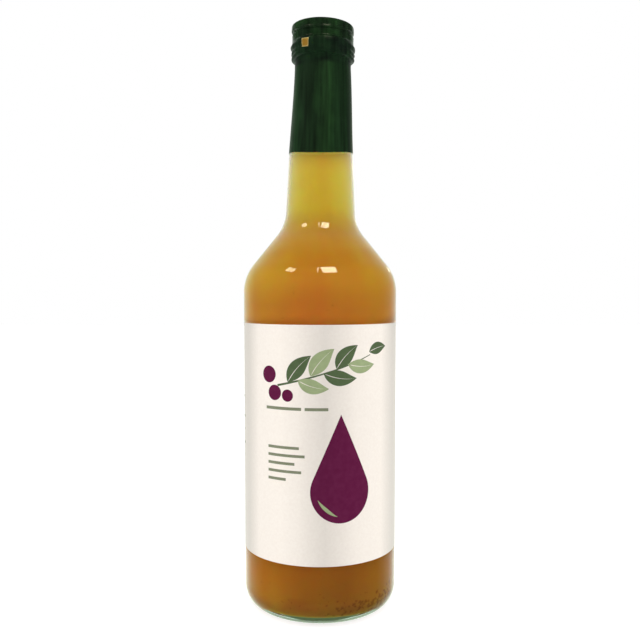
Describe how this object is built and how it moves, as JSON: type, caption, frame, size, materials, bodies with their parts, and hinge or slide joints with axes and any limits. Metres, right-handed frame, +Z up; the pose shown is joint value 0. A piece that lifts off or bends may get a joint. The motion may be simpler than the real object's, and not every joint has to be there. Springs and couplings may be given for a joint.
{
  "type": "vinegar bottle",
  "caption": "Upright clear glass vinegar bottle with sloping shoulder and long neck, full of cloudy amber vinegar, with a cream paper wrap label and a dark green shrink capsule.",
  "frame": {"origin": "centre of the base, at the height of the bearing ring that the bottle stands on", "axes": "+Z up along the bottle's axis, -Y towards the front, where the middle of the label is, +X to the right as seen from the front"},
  "size_m": [0.07, 0.07, 0.2635],
  "materials": {
    "glass": "polished",
    "vinegar": "gloss",
    "capsule_film": "satin",
    "label_paper": "satin",
    "gold_foil": "satin"
  },
  "bodies": {
    "root": {"bottle": "glass", "vinegar": "vinegar", "capsule": "capsule_film", "label": "label_paper", "foil_mark": "gold_foil"}
  },
  "joints": []
}
